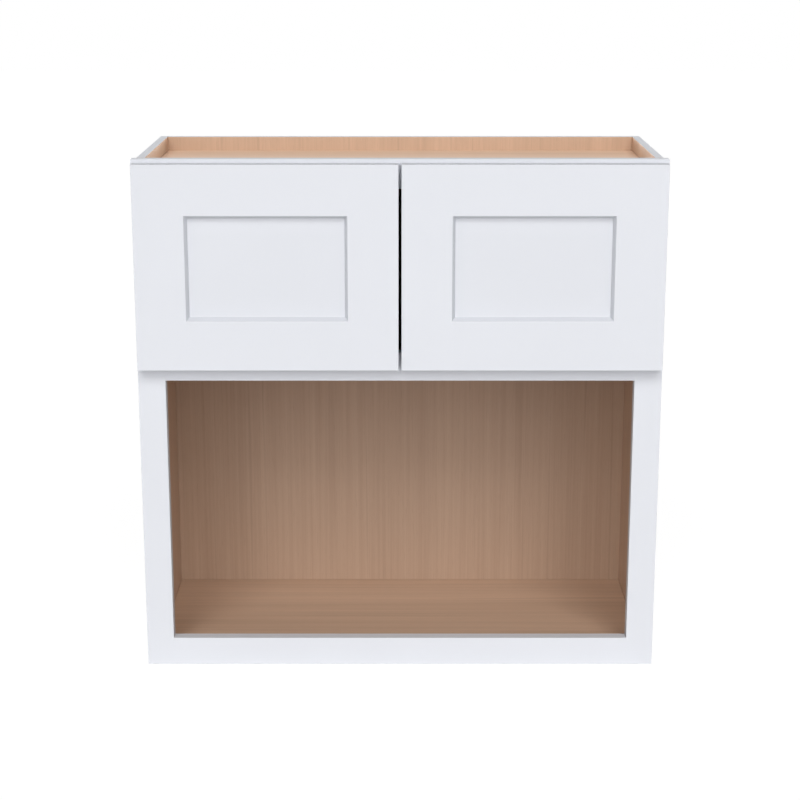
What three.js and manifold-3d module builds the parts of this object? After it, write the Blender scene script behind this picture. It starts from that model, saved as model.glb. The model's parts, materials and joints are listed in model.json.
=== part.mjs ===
// A framed wall cabinet: an open microwave bay below, and a cupboard above it behind two
// panelled doors on concealed hinges. Millimetres, +Z up, +X to the viewer's right, +Y to the
// wall. The origin is under the middle of the whole object, on the level of its lowest edge.
import * as THREE from 'three';
import { mergeVertices } from 'three/addons/utils/BufferGeometryUtils.js';
import Module from 'manifold-3d';

const wasm = await Module();
wasm.setup();

// ---- Driving dimensions -------------------------------------------------------------------

// Fits: glue between touching boards, and the play round anything let into a cut or a bore.
const glueLine = 0.1;
const cutPlay = 0.2;
const runningPlay = 0.3;

// Whole carcass, from the front of the face frame to the rear of the back panel.
const cabinetWidth = 762;
const cabinetHeight = 762;
const cabinetDepth = 304.8;

// Face frame.
const frameThickness = 19;
const stileWidth = 40;
const topRailHeight = 42;
const midRailHeight = 42;
const bottomRailHeight = 42;
const bayHeight = 399;

// Plywood box behind the frame.
const frameOverhang = 6.35; // the frame stands this far out past each side panel
const sideThickness = 12;
const topThickness = 12;
const deckThickness = 12;
const floorThickness = 12;
const backThickness = 12;
const tongueLength = 5; // of each shelf's ends, let into a dado in the side panel
const tongueThickness = 6;
const topRecess = 21; // from the side panels' upper edges down to the top panel
const deckDrop = 10; // from the mid rail's upper edge down to the deck
const floorDrop = 10; // from the bottom rail's upper edge down to the bay floor

// Doors.
const doorThickness = 19;
const doorGap = 2; // between the face frame and the closed doors
const doorSideReveal = 2.6;
const doorTopReveal = 5;
const doorOverlay = 22.2; // how far the doors reach down over the mid rail
const meetingGap = 3.85;
const doorStileWidth = 76.7;
const doorRailWidth = 76.7;
const bevelRun = 4.2;
const bevelDepth = 8.5;
const panelRecess = 9; // from the door's face to its flat panel
const doorPanelThickness = 6;
const grooveDepth = 10;
const panelPlay = 0.6; // room for the floating panel at the bottom of its groove

// Concealed hinges. Offsets along the door are from the cup's centre towards the door's
// middle, and depths are from the door's back face into the door.
const hingeInset = 76; // from the door's upper or lower edge to the hinge
const cupBoreRadius = 17.5;
const cupBoreDepth = 12.2;
const cupEdgeDistance = 5; // wood left between the bore and the door's outer edge
const cupWall = 1.2;
const cupFloor = 0.8;
const cupRimWidth = 2;
const cupPlate = 1; // thickness of the rim and of the two screw ears
const earReach = 6; // each ear ends this far beyond its screw
const cupScrewOffset = 9.5;
const cupScrewSpacing = 45;
const cupPivotOffset = -12;
const cupPivotDepth = 4.5;
const basePivotOffset = 10.8;
const basePivotDepth = 3.2;
const pinRadius = 1.5;
const eyeWall = 1.15;
const leverWidth = 10;
const leverThickness = 2.4;
const leverCrankOffset = -6.4; // the cranked stretch of the lever, which passes the cup's rim
const leverCrankLength = 4.5;
const leverCrankDepth = 6.6;
const baseEarThickness = 1.5;
const baseEarWall = 1.3;
const baseSheet = 1.8;
const basePlateHeight = 44;
const basePlateDepth = 17;
const baseScrewSpacing = 30;
const baseScrewSetback = 9; // from the front of the frame to the base's screws

// Screws.
const baseScrew = { headRadius: 3.4, headHeight: 1.8, shankRadius: 1.8, length: 14 };
const cupScrew = { headRadius: 3.2, headHeight: 0.5, shankRadius: 1.7, length: 10 };

// Soft door stops, glued to the doors' backs.
const bumperRadius = 5;
const bumperInset = 20; // from the door's meeting edge
const bumperEdge = 15.1; // from the door's upper edge
const lowerBumperEdge = 11; // from the door's lower edge

// How far a cutter reaches past the face that it cuts through.
const overshoot = 1;

// Sides of the round pieces.
const cupSides = 36;
const pinSides = 20;
const screwSides = 12;

// ---- Places worked out from them ----------------------------------------------------------

const frameHalf = cabinetWidth / 2;
const openingHalf = frameHalf - stileWidth;
const sideOuter = frameHalf - frameOverhang;
const sideInner = sideOuter - sideThickness;
const boxFront = frameThickness + glueLine;
const backFront = cabinetDepth - backThickness;
const midRailBottom = bottomRailHeight + bayHeight;
const midRailTop = midRailBottom + midRailHeight;
const topRailBottom = cabinetHeight - topRailHeight;
const floorTop = bottomRailHeight - floorDrop;
const deckTop = midRailTop - deckDrop;
const topPanelTop = cabinetHeight - topRecess;

const doorBack = -doorGap;
const doorFront = doorBack - doorThickness;
const doorOuter = frameHalf - doorSideReveal;
const doorWidth = doorOuter - meetingGap / 2;
const doorBottom = midRailTop - doorOverlay;
const doorHeight = cabinetHeight - doorTopReveal - doorBottom;

const cupCentre = cupEdgeDistance + cupBoreRadius; // from the door's outer edge
const frameEdge = stileWidth - doorSideReveal; // the frame opening, from the same edge
const hingeHeights = {
  upper: doorBottom + doorHeight - hingeInset,
  lower: doorBottom + hingeInset,
};
const baseGapSheet = doorGap - glueLine - 2 * cutPlay; // the base's sheet inside the door gap

// ---- Materials ----------------------------------------------------------------------------

const whitePaint = new THREE.MeshStandardMaterial({ color: 0xe8e9ed, roughness: 0.42 });
const veneer = new THREE.MeshStandardMaterial({ color: 0xcfa580, roughness: 0.6 });
const nickel = new THREE.MeshStandardMaterial({ color: 0xb9bbbe, roughness: 0.3, metalness: 1 });
const clearRubber = new THREE.MeshStandardMaterial({ color: 0xe4e6e4, roughness: 0.35 });

// ---- Solids -------------------------------------------------------------------------------

function toSolid(geometry) {
  const bare = geometry.clone();
  bare.deleteAttribute('normal');
  bare.deleteAttribute('uv');
  const merged = mergeVertices(bare);
  const mesh = new wasm.Mesh({
    numProp: 3,
    vertProperties: merged.getAttribute('position').array,
    triVerts: new Uint32Array(merged.index.array),
  });
  return new wasm.Manifold(mesh);
}

function toGeometry(solid) {
  const mesh = solid.getMesh();
  const geometry = new THREE.BufferGeometry();
  geometry.setAttribute('position', new THREE.BufferAttribute(mesh.vertProperties, 3));
  geometry.setIndex(new THREE.BufferAttribute(mesh.triVerts, 1));
  geometry.computeVertexNormals();
  return geometry;
}

function join(...geometries) {
  return toGeometry(geometries.map(toSolid).reduce((whole, piece) => whole.add(piece)));
}

function cut(geometry, ...cutters) {
  return toGeometry(cutters.map(toSolid).reduce((left, cutter) => left.subtract(cutter), toSolid(geometry)));
}

function trim(geometry, within) {
  return toGeometry(toSolid(geometry).intersect(toSolid(within)));
}

// The two axes an outline is drawn in, and the axis it is drawn out along.
const X = new THREE.Vector3(1, 0, 0);
const Y = new THREE.Vector3(0, 1, 0);
const Z = new THREE.Vector3(0, 0, 1);
const OUTLINE_AXES = { x: [Y, Z, X], y: [Z, X, Y], z: [X, Y, Z] };

// A closed outline drawn out along one axis, between two places on it.
function drawnOut(outline, axis, from, to) {
  const shape = new THREE.Shape(outline.map(([a, b]) => new THREE.Vector2(a, b)));
  const geometry = new THREE.ExtrudeGeometry(shape, { depth: to - from, bevelEnabled: false });
  geometry.translate(0, 0, from);
  geometry.applyMatrix4(new THREE.Matrix4().makeBasis(...OUTLINE_AXES[axis]));
  return geometry;
}

// A box between two opposite corners, given in any order.
function block(x, y, z) {
  const size = [x, y, z].map(([a, b]) => Math.abs(b - a));
  const middle = [x, y, z].map(([a, b]) => (a + b) / 2);
  return new THREE.BoxGeometry(...size).translate(...middle);
}

// A round rod along one axis through centre, with from and to measured from it.
function rod(axis, sides, radius, centre, from, to) {
  const geometry = new THREE.CylinderGeometry(radius, radius, to - from, sides);
  geometry.translate(0, (from + to) / 2, 0);
  if (axis === 'x') geometry.rotateZ(-Math.PI / 2);
  if (axis === 'z') geometry.rotateX(Math.PI / 2);
  return geometry.translate(...centre);
}

// A mesh at its own place: its geometry is drawn round a point of the parent group.
function part(name, geometry, material, place) {
  const mesh = new THREE.Mesh(geometry, material);
  mesh.name = name;
  mesh.position.set(...place);
  return mesh;
}

// A plain board between two places along each axis, with any cutters drawn in the same frame.
function board(name, material, x, y, z, cutters = []) {
  const middle = [x, y, z].map(([a, b]) => (a + b) / 2);
  const whole = block(x, y, z);
  const shaped = cutters.length ? cut(whole, ...cutters) : whole;
  return part(name, shaped.translate(...middle.map((value) => -value)), material, middle);
}

// ---- Face frame ---------------------------------------------------------------------------

// The two pilot holes of a hinge base, bored into the stile's opening edge.
function basePilots(side) {
  const [from, to] = side > 0 ? [-overshoot, baseScrew.length] : [-baseScrew.length, overshoot];
  return Object.values(hingeHeights).flatMap((height) => [-1, 1].map((end) => {
    const centre = [side * openingHalf, baseScrewSetback, height + end * baseScrewSpacing / 2];
    return rod('x', screwSides, baseScrew.shankRadius + cutPlay, centre, from, to);
  }));
}

function makeFaceFrame() {
  const frame = new THREE.Group();
  const depth = [0, frameThickness];
  const railEnd = openingHalf - glueLine;
  const across = [-railEnd, railEnd];
  for (const [name, side] of [['left', -1], ['right', 1]]) {
    const width = [side * openingHalf, side * frameHalf];
    frame.add(board(`frame_${name}_stile`, whitePaint, width, depth, [0, cabinetHeight], basePilots(side)));
  }
  frame.add(board('frame_top_rail', whitePaint, across, depth, [topRailBottom, cabinetHeight]));
  frame.add(board('frame_mid_rail', whitePaint, across, depth, [midRailBottom, midRailTop]));
  frame.add(board('frame_bottom_rail', whitePaint, across, depth, [0, bottomRailHeight]));
  return frame;
}

// ---- Plywood box --------------------------------------------------------------------------

const shelves = {
  top_panel: { top: topPanelTop, thickness: topThickness },
  cupboard_deck: { top: deckTop, thickness: deckThickness },
  bay_floor: { top: floorTop, thickness: floorThickness },
};

// The span of a shelf's tongue in height, in the middle of its edge.
function tongueSpan({ top, thickness }) {
  const middle = top - thickness / 2;
  return [middle - tongueThickness / 2, middle + tongueThickness / 2];
}

// A side panel with a dado across its inner face for each shelf's tongue.
function sidePanel(name, side) {
  const dados = Object.values(shelves).map((shelf) => {
    const [low, high] = tongueSpan(shelf);
    return block(
      [side * (sideInner - overshoot), side * (sideInner + tongueLength)],
      [boxFront - overshoot, backFront],
      [low - glueLine, high + glueLine],
    );
  });
  const across = [side * sideInner, side * sideOuter];
  return board(name, veneer, across, [boxFront, cabinetDepth], [0, cabinetHeight], dados);
}

// A shelf is drawn round the middle of its upper face's front edge.
function makeShelf(name, shelf) {
  const faceEnd = sideInner - glueLine;
  const tongueEnd = faceEnd + tongueLength;
  const depth = [0, backFront - glueLine - boxFront];
  const face = block([-faceEnd, faceEnd], depth, [-shelf.thickness, 0]);
  const tongue = block([-tongueEnd, tongueEnd], depth, tongueSpan({ ...shelf, top: 0 }));
  return part(name, join(face, tongue), veneer, [0, boxFront, shelf.top]);
}

function makeBox() {
  const box = new THREE.Group();
  box.add(sidePanel('left_side', -1), sidePanel('right_side', 1));
  for (const [name, shelf] of Object.entries(shelves)) {
    box.add(makeShelf(name, shelf));
  }
  const backEnd = sideInner - glueLine;
  box.add(board('back_panel', veneer, [-backEnd, backEnd], [backFront, cabinetDepth], [0, cabinetHeight]));
  return box;
}

// ---- Doors --------------------------------------------------------------------------------
// A door is drawn from its own lower outer corner: inward is the way from its outer edge to
// its meeting edge, +1 on the left door and -1 on the right one.

// Section of a stile or rail as [distance from its outer edge, depth]: a bevelled inner edge,
// with a groove for the panel. A positive slack grows it into the cutter that copes a rail.
function edgeSection(width, slack = 0) {
  const inner = width + slack;
  const bevelEnd = doorFront + bevelDepth;
  const grooveFront = doorFront + panelRecess + slack;
  const grooveBack = doorFront + panelRecess + doorPanelThickness + 2 * glueLine - slack;
  const reach = slack > 0 ? overshoot : 0;
  return [
    [-reach, doorBack + reach],
    [-reach, doorFront - reach],
    [inner - bevelRun, doorFront - reach],
    [inner - bevelRun, doorFront],
    [inner, bevelEnd],
    [inner, grooveFront],
    [inner - grooveDepth, grooveFront],
    [inner - grooveDepth, grooveBack],
    [inner, grooveBack],
    [inner, doorBack + reach],
  ];
}

// Cup bores and screw holes in the back of a door's hinge stile.
function cupBores(inward) {
  return Object.values(hingeHeights).flatMap((height) => {
    const z = height - doorBottom;
    const cup = rod('y', cupSides, cupBoreRadius, [inward * cupCentre, doorBack, z], -cupBoreDepth, overshoot);
    const screws = [-1, 1].map((end) => {
      const centre = [inward * (cupCentre + cupScrewOffset), doorBack, z + end * cupScrewSpacing / 2];
      return rod('y', screwSides, cupScrew.shankRadius + cutPlay, centre, -cupScrew.length, overshoot);
    });
    return [cup, ...screws];
  });
}

// An upright member of a door, with its bevelled edge towards the panel.
function doorStile(inward, atMeetingEdge, slack = 0) {
  const reach = slack > 0 ? overshoot : 0;
  const section = edgeSection(doorStileWidth, slack).map(([across, depth]) => {
    const place = atMeetingEdge ? doorWidth - across : across;
    return [inward * place, depth];
  });
  return drawnOut(section, 'z', -reach, doorHeight + reach);
}

// A rail runs into the stiles' grooves as a stub tenon and is coped over their bevels.
function doorRail(inward, atTop) {
  const section = edgeSection(doorRailWidth).map(([across, depth]) => {
    return [depth, atTop ? doorHeight - across : across];
  });
  const tenonEnd = doorStileWidth - grooveDepth + glueLine;
  const ends = [inward * tenonEnd, inward * (doorWidth - tenonEnd)];
  const blank = drawnOut(section, 'x', Math.min(...ends), Math.max(...ends));
  return cut(blank, doorStile(inward, false, glueLine), doorStile(inward, true, glueLine));
}

function doorPanel(inward) {
  const side = doorStileWidth - grooveDepth + panelPlay;
  const end = doorRailWidth - grooveDepth + panelPlay;
  const front = doorFront + panelRecess + glueLine;
  return block(
    [inward * side, inward * (doorWidth - side)],
    [front, front + doorPanelThickness],
    [end, doorHeight - end],
  );
}

function bumper() {
  return rod('y', pinSides, bumperRadius, [0, 0, 0], glueLine, doorGap - runningPlay);
}

function makeDoor(name, inward) {
  const door = new THREE.Group();
  door.position.set(-inward * doorOuter, 0, doorBottom);
  const origin = [0, 0, 0];
  const hingeStile = cut(doorStile(inward, false), ...cupBores(inward));
  door.add(part(`${name}_door_hinge_stile`, hingeStile, whitePaint, origin));
  door.add(part(`${name}_door_meeting_stile`, doorStile(inward, true), whitePaint, origin));
  door.add(part(`${name}_door_top_rail`, doorRail(inward, true), whitePaint, origin));
  door.add(part(`${name}_door_bottom_rail`, doorRail(inward, false), whitePaint, origin));
  door.add(part(`${name}_door_panel`, doorPanel(inward), whitePaint, origin));
  const bumperX = inward * (doorWidth - bumperInset);
  door.add(part(`${name}_upper_bumper`, bumper(), clearRubber, [bumperX, doorBack, doorHeight - bumperEdge]));
  door.add(part(`${name}_lower_bumper`, bumper(), clearRubber, [bumperX, doorBack, lowerBumperEdge]));
  return door;
}

// ---- Hinges -------------------------------------------------------------------------------
// A hinge is drawn round its cup's centre on the door's back face: across is the distance
// towards the door's middle and depth is negative into the door.

const cupPivot = [cupPivotOffset, -cupPivotDepth];
const basePivot = [basePivotOffset, -basePivotDepth];
const eyeRadius = pinRadius + runningPlay + eyeWall;
const earOuter = leverWidth / 2 + runningPlay + baseEarThickness;
const tongueHalf = earOuter + 2 * runningPlay; // half the width of the base's tongue

function atPivot(inward, [across, depth]) {
  return [inward * across, depth, 0];
}

// The floor, wall and rim of the cup, as one turned section round its axis.
function cupShell() {
  const outer = cupBoreRadius - cutPlay;
  const inner = outer - cupWall;
  const bottom = -cupBoreDepth + cutPlay;
  const rim = cupBoreRadius + cupRimWidth;
  const rimTop = glueLine + cupPlate;
  const section = [
    [0, bottom],
    [outer, bottom],
    [outer, glueLine],
    [rim, glueLine],
    [rim, rimTop],
    [inner, rimTop],
    [inner, bottom + cupFloor],
    [0, bottom + cupFloor],
  ];
  return new THREE.LatheGeometry(section.map(([r, y]) => new THREE.Vector2(r, y)), cupSides);
}

// The two ears that take the cup's screws, and the gaps in the rim that the lever and the
// base pass through.
function makeCup(inward) {
  const shellInner = cupBoreRadius - cutPlay - cupWall;
  const rimTop = glueLine + cupPlate;
  const earWidth = [cupScrewOffset - earReach, cupScrewOffset + earReach];
  const earEnd = cupScrewSpacing / 2 + earReach;
  const ears = [-1, 1].map((end) => block(
    earWidth.map((across) => inward * across),
    [glueLine, rimTop],
    [end * (shellInner - cupRimWidth), end * earEnd],
  ));
  const screwHoles = [-1, 1].map((end) => {
    const centre = [inward * cupScrewOffset, 0, end * cupScrewSpacing / 2];
    return rod('y', screwSides, cupScrew.shankRadius + cutPlay, centre, 0, rimTop + overshoot);
  });
  const clearOfRim = rimTop + overshoot;
  const bowl = rod('y', cupSides, shellInner, [0, 0, 0], 0, clearOfRim);
  const pastRim = cupBoreRadius + cupRimWidth + overshoot;
  const leverPass = leverWidth / 2 + 2 * runningPlay;
  const basePass = tongueHalf + 2 * runningPlay;
  const rimGaps = [
    block([0, -inward * pastRim], [0, clearOfRim], [-leverPass, leverPass]),
    block([0, inward * pastRim], [0, clearOfRim], [-basePass, basePass]),
  ];
  const wallMiddle = rod('y', cupSides, shellInner + cupWall / 2, [0, 0, 0], -cupBoreDepth, 0);
  const rawPin = rod('z', pinSides, pinRadius, atPivot(inward, cupPivot), -shellInner, shellInner);
  const pin = trim(rawPin, wallMiddle);
  return join(cut(join(cupShell(), ...ears), bowl, ...rimGaps, ...screwHoles), pin);
}

// An even strip along a bent centre line, as an outline.
function strip(line, thickness) {
  const points = line.map(([a, b]) => new THREE.Vector2(a, b));
  const normals = points.slice(1).map((point, i) => {
    const along = point.clone().sub(points[i]).normalize();
    return new THREE.Vector2(-along.y, along.x);
  });
  const offsets = points.map((_, i) => {
    const before = normals[Math.max(i - 1, 0)];
    const after = normals[Math.min(i, normals.length - 1)];
    const sum = before.clone().add(after);
    return sum.multiplyScalar(thickness / sum.lengthSq());
  });
  const upper = points.map((point, i) => point.clone().add(offsets[i]));
  const lower = points.map((point, i) => point.clone().sub(offsets[i]));
  return [...upper, ...lower.reverse()].map(({ x, y }) => [x, y]);
}

// The cranked lever between the base's pin and the cup's pin.
function makeLever(inward) {
  const crank = [leverCrankOffset, leverCrankOffset + leverCrankLength];
  const line = [cupPivot, ...crank.map((across) => [across, -leverCrankDepth]), basePivot];
  const mirrored = line.map(([across, depth]) => [inward * across, depth]);
  const half = leverWidth / 2;
  const arm = drawnOut(strip(mirrored, leverThickness), 'z', -half, half);
  const eyes = [cupPivot, basePivot].map((pivot) => {
    return rod('z', pinSides, eyeRadius, atPivot(inward, pivot), -half, half);
  });
  const through = half + overshoot;
  const bores = [cupPivot, basePivot].map((pivot) => {
    return rod('z', pinSides, pinRadius + runningPlay, atPivot(inward, pivot), -through, through);
  });
  return cut(join(arm, ...eyes), ...bores);
}

// The base: a plate screwed to the frame's opening edge, a tongue bent forward over the
// frame's face into the door gap, and two ears with the pin that the lever turns on.
function makeBase(inward) {
  const edge = frameEdge - cupCentre;
  const inner = edge + glueLine;
  const tongueFront = doorGap - glueLine - baseGapSheet;
  const tongueBack = doorGap - glueLine;
  const earHalf = pinRadius + baseEarWall;
  const ways = (range) => range.map((across) => inward * across);
  const plate = block(
    ways([inner, inner + baseSheet]),
    [doorGap + glueLine, doorGap + basePlateDepth],
    [-basePlateHeight / 2, basePlateHeight / 2],
  );
  const bend = block(
    ways([inner, inner + baseSheet]),
    [tongueFront, doorGap + basePlateDepth],
    [-tongueHalf, tongueHalf],
  );
  const tongue = block(
    ways([basePivotOffset - earHalf, inner + baseSheet]),
    [tongueFront, tongueBack],
    [-tongueHalf, tongueHalf],
  );
  const ears = [-1, 1].flatMap((end) => {
    const inside = end * (leverWidth / 2 + runningPlay);
    const outside = end * earOuter;
    const [from, to] = [Math.min(inside, outside), Math.max(inside, outside)];
    const web = block(
      ways([basePivotOffset - earHalf, basePivotOffset + earHalf]),
      [-basePivotDepth, tongueBack],
      [from, to],
    );
    return [web, rod('z', pinSides, earHalf, atPivot(inward, basePivot), from, to)];
  });
  const pinEnd = earOuter - baseEarThickness / 2;
  const pin = rod('z', pinSides, pinRadius, atPivot(inward, basePivot), -pinEnd, pinEnd);
  const through = baseSheet + overshoot;
  const screwHoles = [-1, 1].map((end) => {
    const centre = [inward * inner, doorGap + baseScrewSetback, end * baseScrewSpacing / 2];
    return rod('x', screwSides, baseScrew.shankRadius + cutPlay, centre, -through, through);
  });
  return cut(join(plate, bend, tongue, ...ears, pin), ...screwHoles);
}

// A screw along +Y: the head's underside is at zero and the tip points down the axis.
function makeScrew({ headRadius, headHeight, shankRadius, length }) {
  const dome = headHeight / 2;
  const tip = length - 2 * shankRadius;
  const section = [
    [0, -length],
    [shankRadius, -tip],
    [shankRadius, 0],
    [headRadius, 0],
    [headRadius, dome],
    [headRadius - dome, headHeight],
    [0, headHeight],
  ];
  return new THREE.LatheGeometry(section.map(([r, y]) => new THREE.Vector2(r, y)), screwSides);
}

function makeHinge(name, inward, height) {
  const hinge = new THREE.Group();
  hinge.position.set(-inward * (doorOuter - cupCentre), doorBack, height);
  const origin = [0, 0, 0];
  hinge.add(part(`${name}_hinge_base`, makeBase(inward), nickel, origin));
  hinge.add(part(`${name}_hinge_lever`, makeLever(inward), nickel, origin));
  hinge.add(part(`${name}_hinge_cup`, makeCup(inward), nickel, origin));
  const plateFace = frameEdge - cupCentre + glueLine + baseSheet;
  for (const [end, word] of [[1, 'top'], [-1, 'bottom']]) {
    const baseZ = end * baseScrewSpacing / 2;
    const basePlace = [inward * (plateFace + glueLine), doorGap + baseScrewSetback, baseZ];
    const baseFixing = part(`${name}_base_screw_${word}`, makeScrew(baseScrew), nickel, basePlace);
    baseFixing.rotation.z = -inward * Math.PI / 2;
    const cupZ = end * cupScrewSpacing / 2;
    const cupPlace = [inward * cupScrewOffset, 2 * glueLine + cupPlate, cupZ];
    hinge.add(baseFixing, part(`${name}_cup_screw_${word}`, makeScrew(cupScrew), nickel, cupPlace));
  }
  return hinge;
}

// ---- Assembly -----------------------------------------------------------------------------

const cabinet = new THREE.Group();
cabinet.position.y = -(cabinetDepth + doorFront) / 2;
cabinet.add(makeFaceFrame(), makeBox());
for (const [name, inward] of [['left', 1], ['right', -1]]) {
  cabinet.add(makeDoor(name, inward));
  for (const [level, height] of Object.entries(hingeHeights)) {
    cabinet.add(makeHinge(`${name}_${level}`, inward, height));
  }
}

export default cabinet;
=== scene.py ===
"""The looks of a white framed microwave wall cabinet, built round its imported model.

Metres, Z up, the front towards -Y.
"""

import json
import math

import bmesh
import bpy
from mathutils import Matrix, Vector

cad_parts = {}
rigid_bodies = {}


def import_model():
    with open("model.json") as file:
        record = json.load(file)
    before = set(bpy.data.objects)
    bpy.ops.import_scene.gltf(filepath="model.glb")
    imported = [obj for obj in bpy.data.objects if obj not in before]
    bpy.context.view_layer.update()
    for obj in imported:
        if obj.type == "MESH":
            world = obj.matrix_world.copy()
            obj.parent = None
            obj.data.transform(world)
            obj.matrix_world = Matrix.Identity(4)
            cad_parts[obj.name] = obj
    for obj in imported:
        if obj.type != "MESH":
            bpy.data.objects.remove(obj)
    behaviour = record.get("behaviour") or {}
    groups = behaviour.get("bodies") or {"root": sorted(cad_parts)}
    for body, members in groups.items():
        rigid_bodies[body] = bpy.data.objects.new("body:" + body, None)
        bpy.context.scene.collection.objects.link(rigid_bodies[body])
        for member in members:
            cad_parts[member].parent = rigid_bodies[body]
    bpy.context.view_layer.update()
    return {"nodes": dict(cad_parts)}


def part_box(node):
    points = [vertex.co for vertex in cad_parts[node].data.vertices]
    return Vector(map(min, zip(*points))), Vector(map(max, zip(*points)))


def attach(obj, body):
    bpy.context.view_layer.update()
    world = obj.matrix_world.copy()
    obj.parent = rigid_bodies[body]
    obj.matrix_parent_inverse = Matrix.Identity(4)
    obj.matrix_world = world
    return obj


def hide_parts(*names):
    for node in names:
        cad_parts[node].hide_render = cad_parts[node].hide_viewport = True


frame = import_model()
NODES = frame["nodes"]

# ---- Sizes ------------------------------------------------------------------------------------

MM = 0.001
HAIRLINE = 0.02 * MM  # left between two boards that are glued to each other
BOARD_EASE = 0.9 * MM  # radius of a painted board's edges
PLY_EASE = 0.4 * MM
SEAM_EASE = 0.8 * MM  # along the shelves' rear upper edges, which shows as a thin dark seam
DOOR_EASE = 0.6 * MM
PRESSING_EASE = 0.2 * MM  # on the hinges' metal
MEETING_TRIM = 0.2 * MM  # planed off the edge where the doors meet
BEVEL_RUN = 4.2 * MM  # the doors' inner bevel
BEVEL_DEPTH = 8.5 * MM
BEVEL_EASE = 0.25 * MM
GROOVE_DEPTH = 10 * MM  # of the groove that holds a door's panel
CUP_CENTRE = 22.5 * MM  # from the door's outer edge to the middle of a hinge cup's bore
CUP_DEPTH = 12.2 * MM
BORE_RADIUS = 17.6 * MM  # 0.1 mm more than the cup's own
PLY_COUNT = 7

TOUCH = 0.01 * MM  # places nearer to each other than this count as one
WELD = 0.001 * MM  # corners of a solid's triangles nearer than this are joined
FACING = 0.5  # a face looks along an axis when at least this much of its normal does
FLAT_FRONT = -0.9  # a door's bevels and eased edges look less squarely ahead than this
SOFT_BEND = 35  # degrees; a bend below this is shaded smooth
SHARP_BEND = 40  # degrees; an edge above this is a corner of the board or pressing
SQUARE_BEND = 60  # degrees; an edge above this is a square corner of the face frame

LEVELS = ("upper", "lower")
SIDES = {"left": -1, "right": 1}  # with the way outward along X
X_AXIS, Y_AXIS, Z_AXIS = Vector((1, 0, 0)), Vector((0, 1, 0)), Vector((0, 0, 1))


class Nodes:
    """A short way to add and link the nodes of one tree."""

    def __init__(self, tree):
        self.tree = tree

    def feed(self, socket, value):
        """Links an input to another node's output, or sets it to a plain value."""
        if isinstance(value, bpy.types.NodeSocket):
            self.tree.links.new(value, socket)
        else:
            socket.default_value = value

    def add(self, kind, inputs=None, **settings):
        node = self.tree.nodes.new(kind)
        for key, value in settings.items():
            setattr(node, key, value)
        for key, value in (inputs or {}).items():
            self.feed(node.inputs[key], value)
        return node


def add_to_scene(obj):
    bpy.context.scene.collection.objects.link(obj)
    return obj


# ---- Materials --------------------------------------------------------------------------------

MID_NOISE = (0.3, 0.7)  # most of a noise pattern's values lie between these
WIDE_NOISE = (0.25, 0.75)

PAINT_TONES = ((0.806, 0.822, 0.868), (0.818, 0.834, 0.881))
PAINT_SPECULAR = 0.12
PAINT_ROUGHNESS = (0.46, 0.54)
PLY_TONES = ((0.66, 0.46, 0.30), (0.40, 0.24, 0.14))
NICKEL_TONES = ((0.62, 0.62, 0.61), (0.72, 0.72, 0.71))
BUMPER_TONES = ((0.80, 0.82, 0.80), (0.88, 0.89, 0.88))

# Veneer, as (light, dark): clear-coated inside the bay and the cupboard, with a lighter tone on the
# bay floor, and raw on the cabinet's back and above the top panel, where nobody looks. RAW is
# lighter than COATED as painted light, and PALE, on the top panel's upper face, is painted light,
# lighter than veneer can be.
COATED = ((0.527, 0.366, 0.264), (0.428, 0.289, 0.204))
COATED_FLOOR = ((0.64, 0.446, 0.318), (0.477, 0.325, 0.228))
RAW = ((0.654, 0.446, 0.314), (0.538, 0.364, 0.251))
PALE = ((0.92, 0.655, 0.475), (0.86, 0.60, 0.425))

# How fine each of the grain's patterns is, across and along the grain.
BANDS = (20, 0.8)
STREAKS = (120, 1.2)
WIDE_STREAKS = (70, 1.2)
FIBRES = (420, 3.5)
PORES = (1500, 45)
BAND_SHARE, STREAK_SHARE, FIBRE_SHARE = 0.35, 0.35, 0.3  # of the grain's tone
GRAIN_RANGE = (0.36, 0.64)  # from the dark tone to the light one
LINE_RANGE = (0.60, 0.72)  # streaks above this turn into dark lines
PIT_RANGE = (0.62, 0.74)  # pores above this are open
COATED_ROUGHNESS = (0.42, 0.56)
PALE_ROUGHNESS = (0.3, 0.42)


def darker(colour, share):
    return tuple(share * part for part in colour)


class Finish(Nodes):
    """A material for one of the object's surfaces."""

    def __init__(self, name):
        self.material = bpy.data.materials.new(name)
        self.material.use_nodes = True
        super().__init__(self.material.node_tree)
        self.shader = self.tree.nodes["Principled BSDF"]

    def surface(self, name, value):
        """Sets or links an input of the shader itself."""
        self.feed(self.shader.inputs[name], value)

    def place(self, scale=(1, 1, 1), location=(0, 0, 0)):
        """Object coordinates, stretched and shifted."""
        here = self.add("ShaderNodeTexCoord").outputs["Object"]
        inputs = {"Vector": here, "Scale": scale, "Location": location}
        return self.add("ShaderNodeMapping", inputs).outputs["Vector"]

    def noise(self, vector, scale, detail=2.0, roughness=0.5):
        inputs = {"Vector": vector, "Scale": scale, "Detail": detail, "Roughness": roughness}
        return self.add("ShaderNodeTexNoise", inputs).outputs["Fac"]

    def spread(self, value, low, high, to_low=0.0, to_high=1.0):
        """Stretches the values from low to high over those from to_low to to_high."""
        inputs = {"Value": value, "From Min": low, "From Max": high}
        inputs.update({"To Min": to_low, "To Max": to_high})
        return self.add("ShaderNodeMapRange", inputs).outputs["Result"]

    def math(self, operation, first, second):
        node = self.add("ShaderNodeMath", {0: first, 1: second}, operation=operation)
        return node.outputs["Value"]

    def blend(self, factor, first, second):
        """A colour between two colours or colour sockets."""
        node = self.add("ShaderNodeMix", {"Factor": factor}, data_type="RGBA")
        colour_inputs = [socket for socket in node.inputs if socket.type == "RGBA"]
        for socket, value in zip(colour_inputs, (first, second)):
            self.feed(socket, (*value, 1) if isinstance(value, tuple) else value)
        return next(socket for socket in node.outputs if socket.type == "RGBA")

    def bump(self, height, strength, distance):
        inputs = {"Height": height, "Strength": strength, "Distance": distance}
        self.surface("Normal", self.add("ShaderNodeBump", inputs).outputs["Normal"])


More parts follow.
